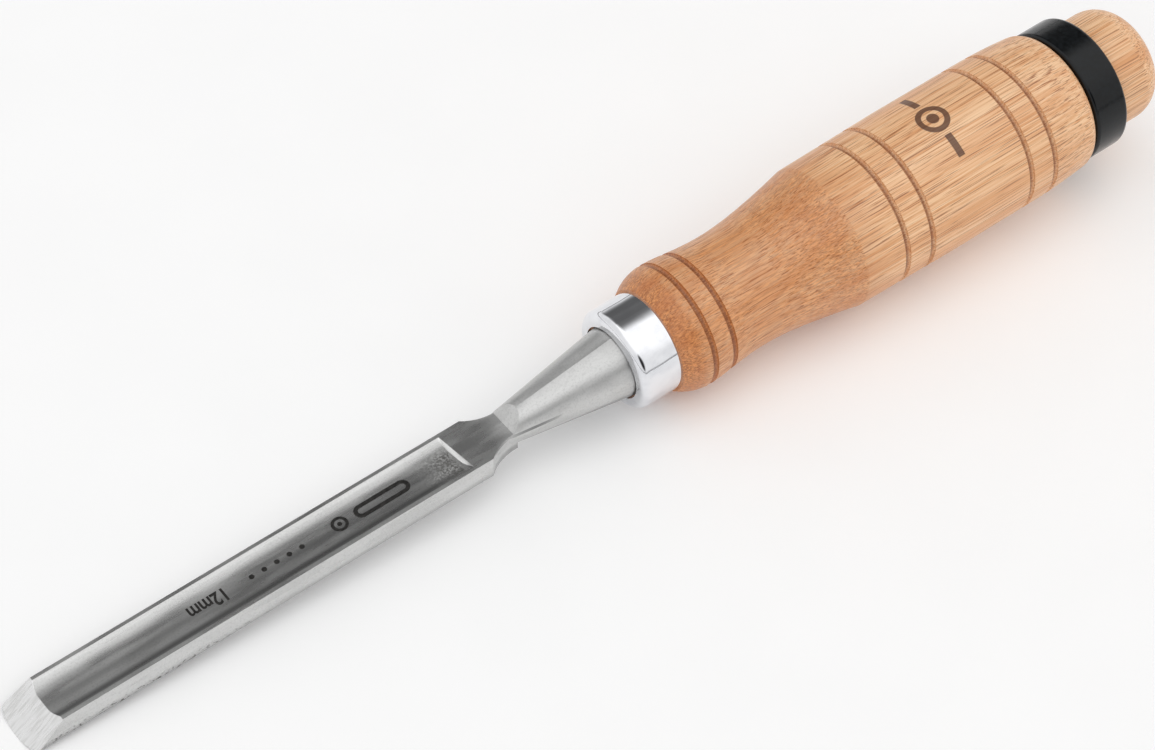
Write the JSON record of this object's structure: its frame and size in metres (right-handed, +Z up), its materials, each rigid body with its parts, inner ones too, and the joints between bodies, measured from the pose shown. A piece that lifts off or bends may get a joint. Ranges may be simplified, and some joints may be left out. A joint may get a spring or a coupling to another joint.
{
  "type": "wood chisel",
  "caption": "Hollow-topped tang chisel: bevelled steel blade with a conical bolster, chromed ferrule, turned wooden handle with paired grooves and a black striking hoop.",
  "frame": {"origin": "the middle of the cutting edge, which touches the bench at Z = 0", "axes": "+Z up from the bench, +X from the cutting edge towards the butt, +Y to the left seen from the butt; the tool's own axis climbs 3.70 degrees from +X in the XZ plane, because the tool lies on its cutting edge and on the bead at the front of its handle"},
  "size_m": [0.2496, 0.0296, 0.0324],
  "materials": {
    "blade_steel": "satin ground steel, brighter on the bevel",
    "ferrule_chrome": "polished chrome",
    "handle_wood": "clear satin lacquer on fine-grained orange-tan hardwood",
    "hoop_paint": "gloss black"
  },
  "bodies": {
    "root": {"blade": "blade_steel", "ferrule": "ferrule_chrome", "handle": "handle_wood", "striking_hoop": "hoop_paint"}
  },
  "joints": []
}
